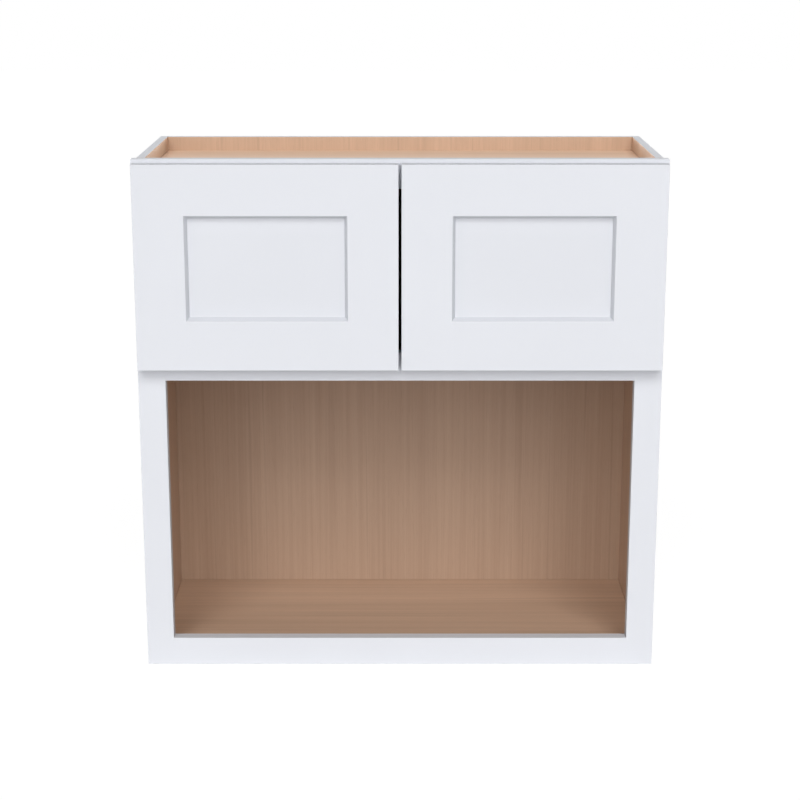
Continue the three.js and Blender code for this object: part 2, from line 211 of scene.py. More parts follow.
def white_paint(name, strength=1.0):
    """Sprayed satin paint: even, with the faint ripple that a spray gun leaves."""
    look = Finish(name)
    here = look.place()
    drift = look.noise(here, 6.0)
    # With strength below 1 the paint is a darker copy, used as painted shade on edges and panels.
    low, high = (darker(tone, strength) for tone in PAINT_TONES)
    look.surface("Base Color", look.blend(look.spread(drift, *MID_NOISE), low, high))
    look.surface("Specular IOR Level", PAINT_SPECULAR)
    ripple = look.noise(here, 420.0, detail=3.0)
    look.surface("Roughness", look.spread(ripple, *WIDE_NOISE, *PAINT_ROUGHNESS))
    look.bump(ripple, strength=0.06, distance=0.4 * MM)
    return look.material


def veneer(name, along, light, dark, seed=0.0, roughness=COATED_ROUGHNESS, streak_size=STREAKS):
    """Maple veneer: soft bands, fine fibres and short pores, all along one axis."""
    look = Finish(name)

    def grain(fineness, **settings):
        scale = [fineness[0]] * 3
        scale["xyz".index(along)] = fineness[1]
        here = look.place(tuple(scale), (seed, seed * 0.7, seed * 1.3))
        return look.noise(here, 1.0, **settings)

    bands = grain(BANDS, detail=3.0, roughness=0.6)
    streaks = grain(streak_size, detail=2.0, roughness=0.55)
    fibres = grain(FIBRES, detail=4.0, roughness=0.65)
    pores = grain(PORES, detail=1.0)
    tone = look.math("MULTIPLY", bands, BAND_SHARE)
    tone = look.math("ADD", tone, look.math("MULTIPLY", streaks, STREAK_SHARE))
    tone = look.math("ADD", tone, look.math("MULTIPLY", fibres, FIBRE_SHARE))
    colour = look.blend(look.spread(tone, *GRAIN_RANGE), dark, light)
    dark_lines = look.math("MULTIPLY", look.spread(streaks, *LINE_RANGE), 0.5)
    colour = look.blend(dark_lines, colour, darker(dark, 0.82))
    pits = look.spread(pores, *PIT_RANGE)
    colour = look.blend(look.math("MULTIPLY", pits, 0.2), colour, darker(dark, 0.6))
    look.surface("Base Color", colour)
    look.surface("Roughness", look.spread(fibres, *MID_NOISE, *roughness))
    relief = look.math("ADD", fibres, look.math("MULTIPLY", pits, -0.6))
    look.bump(relief, strength=0.12, distance=0.2 * MM)
    return look.material


def ply_edge(name, across, start, thickness):
    """The sawn edge of plywood: light and dark plies stacked across the board."""
    look = Finish(name)
    here = look.place()
    split = look.add("ShaderNodeSeparateXYZ", {"Vector": here})
    depth = look.math("SUBTRACT", split.outputs[across], start)
    wander = look.math("MULTIPLY", look.math("SUBTRACT", look.noise(here, 9.0), 0.5), 0.9 * MM)
    ply = look.math("MULTIPLY", look.math("ADD", depth, wander), PLY_COUNT / thickness)
    odd = look.math("MODULO", look.math("FLOOR", ply, 0.0), 2.0)
    fuzz = look.noise(here, 900.0, detail=4.0, roughness=0.7)
    shade = look.math("ADD", look.math("MULTIPLY", odd, 0.75), look.math("MULTIPLY", fuzz, 0.25))
    look.surface("Base Color", look.blend(shade, *PLY_TONES))
    look.surface("Roughness", 0.75)
    look.bump(fuzz, strength=0.4, distance=0.4 * MM)
    return look.material


def nickel():
    """Bright nickel plate on pressed steel, with a faint drawn grain."""
    look = Finish("nickel_plate")
    haze = look.noise(look.place((1, 1, 14)), 180.0, detail=4.0)
    look.surface("Metallic", 1.0)
    look.surface("Base Color", look.blend(haze, *NICKEL_TONES))
    look.surface("Roughness", look.spread(haze, *MID_NOISE, 0.2, 0.34))
    look.bump(haze, strength=0.05, distance=0.2 * MM)
    return look.material


def clear_bumper():
    """Soft clear plastic, slightly milky."""
    look = Finish("clear_bumper")
    cloud = look.noise(look.place(), 300.0)
    look.surface("Base Color", look.blend(cloud, *BUMPER_TONES))
    look.surface("Roughness", look.spread(cloud, *MID_NOISE, 0.12, 0.2))
    look.surface("Transmission Weight", 0.8)
    look.surface("IOR", 1.49)
    return look.material


PAINT = white_paint("white_paint")
# Painted shade: the photo shows bevels and edges darker than the lamps below make them, so these
# darker copies of the paint put that shade into the colour, most on the upright edges of the
# frame's openings and least on the door panels. These tones were matched to it by its levels.
EDGE_PAINTED_SHADE = white_paint("white_paint_edges", strength=0.84)
UPRIGHT_EDGE_PAINTED_SHADE = white_paint("white_paint_upright_edges", strength=0.7)
PANEL_PAINTED_SHADE = white_paint("white_paint_panels", strength=0.975)
COATED_UPRIGHT = veneer("coated_maple_upright", "z", *COATED)
COATED_CROSSWISE = veneer(
    "coated_maple_crosswise", "x", *COATED_FLOOR, seed=3.0, streak_size=WIDE_STREAKS
)
# Painted light: these two are lighter than the coated veneer.
RAW_UPRIGHT_PAINTED_LIGHT = veneer("raw_maple_upright", "z", *RAW)
RAW_CROSSWISE_PAINTED_LIGHT = veneer("raw_maple_crosswise", "x", *PALE, seed=5.0, roughness=PALE_ROUGHNESS)
NICKEL = nickel()
BUMPER = clear_bumper()

# ---- Meshes -----------------------------------------------------------------------------------


def bend(edge):
    """The angle between the two faces at an edge, in degrees, or none at an open edge."""
    return math.degrees(edge.calc_face_angle(0)) if len(edge.link_faces) == 2 else None


def sharp_edges(bm, angle=SHARP_BEND):
    return [edge for edge in bm.edges if (bend(edge) or 0) > angle]


def top_edges(bm):
    top = max(vert.co.z for vert in bm.verts) - TOUCH
    return [edge for edge in bm.edges if all(vert.co.z > top for vert in edge.verts)]


def to_object(name, bm, materials, soft_bend=SOFT_BEND):
    """A finished object at the origin, smooth except across sharp edges."""
    mesh = bpy.data.meshes.new(name)
    bmesh.ops.recalc_face_normals(bm, faces=bm.faces)
    for face in bm.faces:
        face.smooth = True
    for edge in bm.edges:
        angle = bend(edge)
        edge.smooth = angle is not None and angle < soft_bend
    bm.to_mesh(mesh)
    bm.free()
    for material in materials:
        mesh.materials.append(material)
    obj = add_to_scene(bpy.data.objects.new(name, mesh))
    flat = obj.modifiers.new("flat_faces", "WEIGHTED_NORMAL")
    flat.keep_sharp = True
    return obj


def stand_for(obj, body, slot, *nodes):
    """The piece rides on its body and takes the place of the solids it shows."""
    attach(obj, body)
    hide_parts(*nodes)


def baked_mesh(obj):
    """A plain mesh of the object with its modifiers applied."""
    graph = bpy.context.evaluated_depsgraph_get()
    finished = obj.evaluated_get(graph)
    return bpy.data.meshes.new_from_object(finished, preserve_all_data_layers=True, depsgraph=graph)


def reopened(mesh):
    """The mesh, ready for more work."""
    bm = bmesh.new()
    bm.from_mesh(mesh)
    return bm


def join_flat_faces(bm, bend_limit):
    """Makes one face of those that bend less than so many degrees."""
    limit = math.radians(bend_limit)
    bmesh.ops.dissolve_limit(bm, angle_limit=limit, verts=bm.verts, edges=bm.edges)


def solid_copy(node):
    """A closed copy of a solid, with its flat faces whole."""
    bm = reopened(NODES[node].data)
    bmesh.ops.remove_doubles(bm, verts=bm.verts, dist=WELD)
    join_flat_faces(bm, 0.5)
    return bm


def board(low, high):
    """A plain board between two corners."""
    bm = bmesh.new()
    middle, extent = (low + high) / 2, high - low
    for vert in bmesh.ops.create_cube(bm, size=1.0)["verts"]:
        vert.co = Vector(c * e + m for c, e, m in zip(vert.co, extent, middle))
    return bm


def ease(bm, edges, radius, segments=2):
    """Rounds the edges off."""
    shape = {"segments": segments, "profile": 0.5, "affect": "EDGES", "clamp_overlap": True}
    bmesh.ops.bevel(bm, geom=list(edges), offset=radius, **shape)


def everything(bm):
    return bm.verts[:] + bm.edges[:] + bm.faces[:]


def keep_half(bm, point, normal):
    """Cuts the mesh at a plane, keeps the side the normal points away from, and closes the cut."""
    plane = {"plane_co": point, "plane_no": normal, "clear_outer": True}
    cut = bmesh.ops.bisect_plane(bm, geom=everything(bm), **plane)
    rim = [item for item in cut["geom_cut"] if isinstance(item, bmesh.types.BMEdge)]
    bmesh.ops.edgeloop_fill(bm, edges=rim)


def slice_at(bm, height):
    """A level line round the mesh, where its finish changes."""
    bmesh.ops.bisect_plane(bm, geom=everything(bm), plane_co=Z_AXIS * height, plane_no=Z_AXIS)


def finished_board(name, bm, materials, choose):
    """The board as an object; choose gives a face's material from its normal and centre."""
    bm.normal_update()
    for face in bm.faces:
        chosen = choose(face.normal, face.calc_center_median())
        face.material_index = materials.index(chosen)
    return to_object(name, bm, materials)


def saw_cuts(left, right):
    """Cuts, as (point, way to the waste), for boards that meet at two upright joints: one for the
    board on the left, one for the board on the right, and two for each board between them."""
    half = HAIRLINE / 2
    left_board = (X_AXIS * (left - half), X_AXIS)
    right_board = (X_AXIS * (right + half), -X_AXIS)
    between = [(X_AXIS * (left + half), -X_AXIS), (X_AXIS * (right - half), X_AXIS)]
    return left_board, right_board, between


# ---- Face frame -------------------------------------------------------------------------------
# The frame is made in one piece with its two openings and all its eased edges, and then sawn
# into its five boards, so that the boards meet flush.

FRAME_COLUMNS, FRAME_ROWS = 3, 5
OPENINGS = ((1, 1), (1, 3))  # the bay and the doorway, as (column, row) from the lower left


def frame_blank():
    left_low, left_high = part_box("frame_left_stile")
    right_low, right_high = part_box("frame_right_stile")
    xs = [left_low.x, left_high.x, right_low.x, right_high.x]
    zs = [left_low.z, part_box("frame_bottom_rail")[1].z]
    zs += [corner.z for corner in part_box("frame_mid_rail")]
    zs += [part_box("frame_top_rail")[0].z, right_high.z]
    bm = bmesh.new()
    grid = [[[bm.verts.new((x, y, z)) for z in zs] for x in xs] for y in (left_low.y, right_high.y)]

    def wood(column, row):
        inside = 0 <= column < FRAME_COLUMNS and 0 <= row < FRAME_ROWS
        return inside and (column, row) not in OPENINGS

    def edge_face(start, end):
        """A face through the frame's thickness, between two corners of the grid."""
        front, back = grid
        (i, j), (k, m) = start, end
        bm.faces.new((front[i][j], front[k][m], back[k][m], back[i][j]))

    for i in range(FRAME_COLUMNS):
        for j in range(FRAME_ROWS):
            if not wood(i, j):
                continue
            for layer in grid:
                bm.faces.new((layer[i][j], layer[i + 1][j], layer[i + 1][j + 1], layer[i][j + 1]))
            sides = (
                ((i - 1, j), (i, j), (i, j + 1)),
                ((i + 1, j), (i + 1, j), (i + 1, j + 1)),
                ((i, j - 1), (i, j), (i + 1, j)),
                ((i, j + 1), (i, j + 1), (i + 1, j + 1)),
            )
            for neighbour, start, end in sides:
                if not wood(*neighbour):
                    edge_face(start, end)
    bmesh.ops.recalc_face_normals(bm, faces=bm.faces)
    return bm


def make_face_frame():
    low, left_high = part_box("frame_left_stile")
    right_low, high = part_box("frame_right_stile")
    top, mid, bottom = (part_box(f"frame_{name}_rail") for name in ("top", "mid", "bottom"))
    bay_middle = (bottom[1] + mid[0]) / 2
    doorway_middle = (mid[1] + top[0]) / 2
    left_cut, right_cut, between = saw_cuts(left_high.x, right_low.x)
    boards = {
        "frame_left_stile": [left_cut],
        "frame_right_stile": [right_cut],
        "frame_bottom_rail": [*between, (bay_middle, Z_AXIS)],
        "frame_mid_rail": [*between, (bay_middle, -Z_AXIS), (doorway_middle, Z_AXIS)],
        "frame_top_rail": [*between, (doorway_middle, -Z_AXIS)],
    }

    def finish(normal, centre):
        """Painted shade: the openings' edges get darker paint than the faces and the frame's outer
        edges.
        """
        across = low.x + MM < centre.x < high.x - MM
        up = low.z + MM < centre.z < high.z - MM
        if abs(normal.y) >= FACING or not (across and up):
            return PAINT
        return UPRIGHT_EDGE_PAINTED_SHADE if abs(normal.x) > FACING else EDGE_PAINTED_SHADE

    for node, cuts in boards.items():
        bm = frame_blank()
        ease(bm, sharp_edges(bm, SQUARE_BEND), BOARD_EASE, segments=3)
        for point, normal in cuts:
            keep_half(bm, point, normal)
        materials = [PAINT, EDGE_PAINTED_SHADE, UPRIGHT_EDGE_PAINTED_SHADE]
        piece = finished_board(f"{node}_painted", bm, materials, finish)
        stand_for(piece, "carcass", "white_paint", node)


# ---- Plywood box ------------------------------------------------------------------------------


def make_side(name, outward):
    node = f"{name}_side"
    low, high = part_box(node)
    inner = low.x if outward > 0 else high.x
    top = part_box("top_panel")[1].z
    plies = ply_edge(f"{name}_side_plies", "X", low.x, high.x - low.x)
    bm = solid_copy(node)

    def outside(vert):
        return abs(vert.co.x - inner) > TOUCH or vert.co.y > high.y - TOUCH

    def finish(normal, centre):
        if normal.z > FACING or normal.x * outward > FACING:
            return PAINT
        if normal.y > FACING or normal.z < -FACING:
            return plies
        # Painted light: above the top panel the inside gets the lighter raw tone.
        return RAW_UPRIGHT_PAINTED_LIGHT if centre.z > top else COATED_UPRIGHT

    ease(bm, [edge for edge in sharp_edges(bm) if all(map(outside, edge.verts))], PLY_EASE)
    slice_at(bm, top)
    materials = [COATED_UPRIGHT, PAINT, plies, RAW_UPRIGHT_PAINTED_LIGHT]
    piece = finished_board(f"{name}_side_board", bm, materials, finish)
    stand_for(piece, "carcass", "natural_veneer", node)


def make_shelf(node):
    low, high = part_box(node)
    # Painted light: the top panel's upper face gets the pale tone, lighter than veneer can be.
    upper = RAW_CROSSWISE_PAINTED_LIGHT if node == "top_panel" else COATED_CROSSWISE
    plies = ply_edge(f"{node}_plies", "Z", low.z, high.z - low.z)
    bm = solid_copy(node)

    def finish(normal, centre):
        if abs(normal.z) <= FACING:
            return plies
        return upper if normal.z > 0 else COATED_CROSSWISE

    def at_rear(vert):
        return vert.co.y > high.y - TOUCH

    ease(bm, [edge for edge in top_edges(bm) if any(map(at_rear, edge.verts))], SEAM_EASE)
    piece = finished_board(f"{node}_board", bm, [upper, plies, COATED_CROSSWISE], finish)
    stand_for(piece, "carcass", "natural_veneer", node)


def make_back():
    low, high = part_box("back_panel")
    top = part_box("top_panel")[1].z
    plies = ply_edge("back_plies", "Y", low.y, high.y - low.y)
    bm = board(low, high)

    def finish(normal, centre):
        if normal.z > FACING:
            return PAINT
        if abs(normal.y) < FACING:
            return plies
        # Painted light: the back's outside and its part above the top panel get the lighter raw
        # tone.
        return RAW_UPRIGHT_PAINTED_LIGHT if normal.y > FACING or centre.z > top else COATED_UPRIGHT

    ease(bm, top_edges(bm), PLY_EASE)
    slice_at(bm, top)
    materials = [COATED_UPRIGHT, PAINT, plies, RAW_UPRIGHT_PAINTED_LIGHT]
    piece = finished_board("back_panel_board", bm, materials, finish)
    stand_for(piece, "carcass", "natural_veneer", "back_panel")


# ---- Doors ------------------------------------------------------------------------------------


def arc(centre, radius, start, stop, steps=4):
    """Points of a round corner in the section's plane, in degrees."""
    angles = [math.radians(start + (stop - start) * i / steps) for i in range(steps + 1)]
    return [(centre[0] + radius * math.cos(a), centre[1] + radius * math.sin(a)) for a in angles]


def door_section(front, back, panel_front, panel_back, width):
    """Section through a stile as (distance from the door's edge, depth), with eased corners."""
    r = DOOR_EASE
    outer = arc((r, back - r), r, 90, 180) + arc((r, front + r), r, 180, 270)
    face_end = width - BEVEL_RUN
    slope = Vector((BEVEL_RUN, BEVEL_DEPTH)).normalized() * BEVEL_EASE
    near, drop = 0.4, BEVEL_EASE * 0.08  # of the two points nearest to the rounded corner
    softened = [
        (face_end - BEVEL_EASE, front),
        (face_end - BEVEL_EASE * near, front + drop),
        (face_end + slope.x * near, front + slope.y * near + drop),
        (face_end + slope.x, front + slope.y),
    ]
    inner = [
        (width, front + BEVEL_DEPTH),
        (width, panel_front),
        (width - GROOVE_DEPTH, panel_front),
        (width - GROOVE_DEPTH, panel_back),
        (width, panel_back),
    ]
    tail = arc((width - r / 2, back - r / 2), r / 2, 0, 90, 2)
    return outer + softened + inner + tail


def door_blank(low, high, stile_section, rail_section):
    """The sections carried round the door's four sides, with mitred corners."""
    bm = bmesh.new()
    rings = []
    for (across, depth), (up, _) in zip(stile_section, rail_section):
        left, right = low.x + across, high.x - across
        bottom, top = low.z + up, high.z - up
        corners = ((left, bottom), (right, bottom), (right, top), (left, top))
        rings.append([bm.verts.new((x, depth, z)) for x, z in corners])
    for ring, following in zip(rings, rings[1:] + rings[:1]):
        for i in range(4):
            j = (i + 1) % 4
            bm.faces.new((ring[i], ring[j], following[j], following[i]))
    bmesh.ops.recalc_face_normals(bm, faces=bm.faces)
    return bm


def bored_for_cups(stile_mesh, side):
    """Bores the two round pockets that the hinge cups sit in."""
    low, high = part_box(f"{side}_door_hinge_stile")
    x = low.x + CUP_CENTRE if side == "left" else high.x - CUP_CENTRE
    overshoot = MM  # past the door's back
    y = high.y + (overshoot - CUP_DEPTH) / 2
    drill = {"segments": 64, "radius1": BORE_RADIUS, "radius2": BORE_RADIUS}
    drill["depth"] = CUP_DEPTH + overshoot
    drill_mesh = bmesh.new()
    for level in LEVELS:
        cup_low, cup_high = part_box(f"{side}_{level}_hinge_cup")
        centre = Vector((x, y, (cup_low.z + cup_high.z) / 2))
        turn = Matrix.Translation(centre) @ Matrix.Rotation(math.radians(90), 4, "X")
        bmesh.ops.create_cone(drill_mesh, cap_ends=True, matrix=turn, **drill)
    stile = to_object("stile", stile_mesh, [PAINT])
    tool = to_object("bores", drill_mesh, [PAINT])
    stile.modifiers.clear()
    cut = stile.modifiers.new("cups", "BOOLEAN")
    cut.object = tool
    cut.operation = "DIFFERENCE"
    cut.solver = "EXACT"
    bm = reopened(baked_mesh(stile))
    for obj in (stile, tool):
        bpy.data.objects.remove(obj)
    join_flat_faces(bm, 0.1)
    return bm


def trimmed(bm, edge, inward):
    """Moves the stile's outer edge in a little, with its eased corners."""
    for vert in bm.verts:
        if abs(vert.co.x - edge) < 2 * DOOR_EASE:
            vert.co.x += inward * MEETING_TRIM
    return bm


def make_door(name):
    body = f"{name}_door"
    parts = ("hinge_stile", "meeting_stile", "top_rail", "bottom_rail", "panel")
    boxes = [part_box(f"{body}_{part}") for part in parts]
    low = Vector(min(box[0][i] for box in boxes) for i in range(3))
    high = Vector(max(box[1][i] for box in boxes) for i in range(3))
    middle = (low + high) / 2
    panel_low, panel_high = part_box(f"{body}_panel")
    stile_low, stile_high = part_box(f"{body}_hinge_stile")
    rail_low, rail_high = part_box(f"{body}_bottom_rail")
    width = (stile_high - stile_low).x
    depths = (low.y, high.y, panel_low.y, panel_high.y)
    stile_section = door_section(*depths, width)
    rail_section = door_section(*depths, (rail_high - rail_low).z)
    hinge_cut, meeting_cut, between = saw_cuts(low.x + width, high.x - width)
    if name == "right":
        hinge_cut, meeting_cut = meeting_cut, hinge_cut
    cuts = {
        "hinge_stile": [hinge_cut],
        "meeting_stile": [meeting_cut],
        "top_rail": [*between, (middle, -Z_AXIS)],
        "bottom_rail": [*between, (middle, Z_AXIS)],
    }

    def finish(normal, centre):
        # Painted shade: the bevels and eased edges get the darker edge paint.
        return EDGE_PAINTED_SHADE if FLAT_FRONT < normal.y < FACING else PAINT

    for part, planes in cuts.items():
        bm = door_blank(low, high, stile_section, rail_section)
        for point, normal in planes:
            keep_half(bm, point, normal)
        if part == "hinge_stile":
            bm = bored_for_cups(bm, name)
        if part == "meeting_stile":
            bm = trimmed(bm, high.x, -1) if name == "left" else trimmed(bm, low.x, 1)
        piece = finished_board(f"{body}_{part}_painted", bm, [PAINT, EDGE_PAINTED_SHADE], finish)
        stand_for(piece, body, "white_paint", f"{body}_{part}")
    # Painted shade: the panel's paint is a little darker than the frame's.
    piece = to_object(f"{body}_panel_painted", board(panel_low, panel_high), [PANEL_PAINTED_SHADE])
    stand_for(piece, body, "white_paint", f"{body}_panel")


# ---- Screws -----------------------------------------------------------------------------------

BASE_SCREW = {"Head Radius": 3.4 * MM, "Head Height": 1.8 * MM, "Shank Radius": 1.8 * MM}
CUP_SCREW = {"Head Radius": 3.2 * MM, "Head Height": 0.5 * MM, "Shank Radius": 1.7 * MM}
THREAD_PITCH = 1.3 * MM
# Shares of the shank's radius.
CORE, THREAD_MIDDLE, THREAD_SIZE, POINT_LENGTH, POINT_TIP = 0.72, 0.8, 0.2, 1.6, 0.1
# The cross in the head, as shares of the head's radius and height.
SLOT_LENGTH, SLOT_WIDTH, SLOT_DEPTHS = 1.05, 0.24, (1.3, 1.15)
HEAD_CROWN = 0.6  # how much narrower the head is at its top


class Graph(Nodes):
    """A Geometry Nodes tree with named number inputs, built node by node."""

    def __init__(self, name, inputs):
        super().__init__(bpy.data.node_groups.new(name, "GeometryNodeTree"))
        face = self.tree.interface
        face.new_socket("Geometry", in_out="INPUT", socket_type="NodeSocketGeometry")
        face.new_socket("Geometry", in_out="OUTPUT", socket_type="NodeSocketGeometry")
        self.ids = {}
        for key, value in inputs.items():
            socket = face.new_socket(key, in_out="INPUT", socket_type="NodeSocketFloat")
            socket.default_value = value
            self.ids[key] = socket.identifier
        self.given = self.add("NodeGroupInput").outputs
        self.result = self.add("NodeGroupOutput").inputs["Geometry"]

    def calc(self, operation, first, second):
        return self.add("ShaderNodeMath", {0: first, 1: second}, operation=operation).outputs[0]

    def times(self, first, second):
        return self.calc("MULTIPLY", first, second)

    def vector(self, x=0.0, y=0.0, z=0.0):
        return self.add("ShaderNodeCombineXYZ", {"X": x, "Y": y, "Z": z}).outputs[0]

    def moved(self, geometry, **offset):
        inputs = {"Geometry": geometry, "Translation": self.vector(**offset)}
        return self.add("GeometryNodeTransform", inputs).outputs[0]

    def joined(self, *parts):
        node = self.add("GeometryNodeJoinGeometry")
        for part in reversed(parts):
            self.feed(node.inputs[0], part)
        return node.outputs[0]

    def cone(self, bottom, top, depth):
        inputs = {"Vertices": 24, "Radius Bottom": bottom, "Radius Top": top, "Depth": depth}
        return self.add("GeometryNodeMeshCone", inputs).outputs["Mesh"]


def screw_head(graph, radius, height):
    """A crowned head with a cross cut into it."""
    blank = graph.add(
        "GeometryNodeMeshCylinder",
        {"Vertices": 32, "Side Segments": 6, "Radius": radius, "Depth": height},
    )
    place = graph.add("GeometryNodeInputPosition").outputs[0]
    level = graph.add("ShaderNodeSeparateXYZ", {"Vector": place}).outputs["Z"]
    rise = graph.calc("ADD", graph.calc("DIVIDE", level, height), 0.5)
    narrowing = graph.times(graph.calc("POWER", rise, 3.0), HEAD_CROWN)
    shrink = graph.calc("SQRT", graph.calc("SUBTRACT", 1.0, narrowing), 0.0)
    factors = graph.vector(shrink, shrink, 1.0)
    crowned = graph.add("ShaderNodeVectorMath", {0: place, 1: factors}, operation="MULTIPLY")
    domed = graph.add(
        "GeometryNodeSetPosition",
        {"Geometry": blank.outputs["Mesh"], "Position": crowned.outputs[0]},
    )
    head = graph.moved(domed.outputs[0], z=graph.times(height, 0.5))
    recess = graph.add("GeometryNodeMeshBoolean", {"Mesh 1": head}, operation="DIFFERENCE")
    long, narrow = graph.times(radius, SLOT_LENGTH), graph.times(radius, SLOT_WIDTH)
    for x, y, share in ((long, narrow, SLOT_DEPTHS[0]), (narrow, long, SLOT_DEPTHS[1])):
        size = graph.vector(x, y, graph.times(height, share))
        bar = graph.add("GeometryNodeMeshCube", {"Size": size}).outputs["Mesh"]
        graph.feed(recess.inputs["Mesh 2"], graph.moved(bar, z=height))
    return recess.outputs["Mesh"]


def screw_thread(graph, shank, length):
    """A ridge wound round the shank."""
    middle = graph.times(shank, THREAD_MIDDLE)
    spiral = graph.add(
        "GeometryNodeCurveSpiral",
        {
            "Resolution": 20,
            "Rotations": graph.calc("DIVIDE", length, THREAD_PITCH),
            "Start Radius": middle,
            "End Radius": middle,
            "Height": length,
        },
    )
    ridge = graph.add(
        "GeometryNodeCurvePrimitiveCircle",
        {"Resolution": 4, "Radius": graph.times(shank, THREAD_SIZE)},
    )
    curves = {"Curve": spiral.outputs["Curve"], "Profile Curve": ridge.outputs["Curve"]}
    return graph.add("GeometryNodeCurveToMesh", {**curves, "Fill Caps": True}).outputs[0]


def screw_graph():
    """A cross-recessed wood screw, standing on each point along the point's axis attribute."""
    sizes = {**BASE_SCREW, "Length": 14 * MM}
    graph = Graph("wood_screws", sizes)
    head_radius, head_height, shank, length = (graph.given[key] for key in sizes)
    head = screw_head(graph, head_radius, head_height)
    point_length = graph.times(shank, POINT_LENGTH)
    straight = graph.calc("SUBTRACT", length, point_length)
    core = graph.times(shank, CORE)
    stem = graph.cone(core, core, straight)
    tip = graph.cone(graph.times(shank, POINT_TIP), core, point_length)
    threaded = graph.joined(stem, screw_thread(graph, shank, straight))
    screw = graph.joined(
        head,
        graph.moved(threaded, z=graph.times(straight, -1.0)),
        graph.moved(tip, z=graph.times(length, -1.0)),
    )
    axis = graph.add("GeometryNodeInputNamedAttribute", {"Name": "axis"}, data_type="FLOAT_VECTOR")
    direction = {"Vector": axis.outputs["Attribute"]}
    turn = graph.add("FunctionNodeAlignRotationToVector", direction, axis="Z").outputs[0]
    points = {"Points": graph.given["Geometry"], "Instance": screw, "Rotation": turn}
    stand = graph.add("GeometryNodeInstanceOnPoints", points).outputs[0]
    whole = graph.add("GeometryNodeRealizeInstances", {"Geometry": stand}).outputs[0]
    finish = graph.add("GeometryNodeSetMaterial", {"Geometry": whole, "Material": NICKEL})
    graph.feed(graph.result, finish.outputs[0])
    return graph


def make_screws(graph, name, body, axes, sizes):
    """One mesh of all the screws of a kind on a body. They are equally long, and axes says for
    each screw's node which way its head faces."""
    points = []
    for node, axis in axes.items():
        low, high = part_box(node)
        reach = abs((high - low).dot(axis)) / 2
        points.append((low + high) / 2 + axis * (reach - sizes["Head Height"]))
    mesh = bpy.data.meshes.new(name)
    mesh.from_pydata(points, [], [])
    attribute = mesh.attributes.new("axis", "FLOAT_VECTOR", "POINT")
    for item, axis in zip(attribute.data, axes.values()):
        item.vector = axis
    obj = add_to_scene(bpy.data.objects.new(name, mesh))
    build = obj.modifiers.new("screws", "NODES")
    build.node_group = graph.tree
    length = 2 * reach - sizes["Head Height"]
    for key, value in {**sizes, "Length": length}.items():
        build[graph.ids[key]] = value
    bm = reopened(baked_mesh(obj))
    bpy.data.objects.remove(obj)
    stand_for(to_object(name, bm, [NICKEL], soft_bend=30), body, "nickel_plate", *axes)


def all_screws():
    graph = screw_graph()
    in_frame = {}
    for side, outward in SIDES.items():
        in_door = {}
        for level in LEVELS:
            for end in ("top", "bottom"):
                in_frame[f"{side}_{level}_base_screw_{end}"] = -outward * X_AXIS
                in_door[f"{side}_{level}_cup_screw_{end}"] = Y_AXIS
        make_screws(graph, f"{side}_cup_screws", f"{side}_door", in_door, CUP_SCREW)
    make_screws(graph, "base_screws", "carcass", in_frame, BASE_SCREW)


# ---- Hinges and bumpers -----------------------------------------------------------------------

BUMPER_WALL = 0.35  # share of a bumper's height that is straight
BUMPER_STEPS = 32  # round the dome
DOME_STEP = 12  # degrees


def make_pressing(node, body):
    """A pressed or turned metal piece with its sharp edges broken."""
    bm = solid_copy(node)
    ease(bm, sharp_edges(bm), PRESSING_EASE)
    stand_for(to_object(f"{node}_plated", bm, [NICKEL]), body, "nickel_plate", node)


def lathe(profile, centre, axis, steps):
    """Turns a profile of (radius, height) points, from pole to pole, about an axis."""
    bm = bmesh.new()
    up = axis.normalized()
    across = up.orthogonal().normalized()
    along = up.cross(across)
    turns = [2 * math.pi * i / steps for i in range(steps)]
    spokes = [across * math.cos(turn) + along * math.sin(turn) for turn in turns]
    rings = []
    for radius, height in profile:
        middle = centre + up * height
        used = spokes if radius > 0 else spokes[:1]
        rings.append([bm.verts.new(middle + spoke * radius) for spoke in used])
    for ring, following in zip(rings, rings[1:]):
        for i in range(steps):
            j = (i + 1) % steps
            corners = [ring[i % len(ring)], ring[j % len(ring)]]
            corners += [following[j % len(following)], following[i % len(following)]]
            bm.faces.new(list(dict.fromkeys(corners)))
    return bm


def make_bumper(node, body):
    """A soft clear stop with a domed face."""
    low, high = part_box(node)
    radius, height = (high.x - low.x) / 2, high.y - low.y
    centre = Vector(((low.x + high.x) / 2, low.y, (low.z + high.z) / 2))
    wall = height * BUMPER_WALL
    angles = [math.radians(a) for a in range(0, 90, DOME_STEP)]
    dome = [(radius * math.cos(a), wall + (height - wall) * math.sin(a)) for a in angles]
    bm = lathe([(0, 0), (radius, 0), *dome, (0, height)], centre, Y_AXIS, BUMPER_STEPS)
    piece = to_object(f"{node}_dome", bm, [BUMPER], soft_bend=50)
    stand_for(piece, body, "clear_bumper", node)


def make_hardware():
    for side in SIDES:
        for level in LEVELS:
            hinge = f"{side}_{level}_hinge"
            make_pressing(f"{hinge}_base", "carcass")
            make_pressing(f"{hinge}_lever", f"{side}_levers")
            make_pressing(f"{hinge}_cup", f"{side}_door")
            make_bumper(f"{side}_{level}_bumper", f"{side}_door")
    all_screws()


# ---- Camera, floor and light ------------------------------------------------------------------

SENSOR_WIDTH = 36  # mm
LENS = 84.51  # mm
CAMERA_DISTANCE = 2.6568  # in front of the face frame
CAMERA_HEIGHT = 1.078
CAMERA_PITCH = 15.0  # degrees down
CAMERA_SHIFT = 0.0381

AMBIENT = 0.133
SOFT, FIRM = 26, 10  # degrees that a lamp's light spreads over
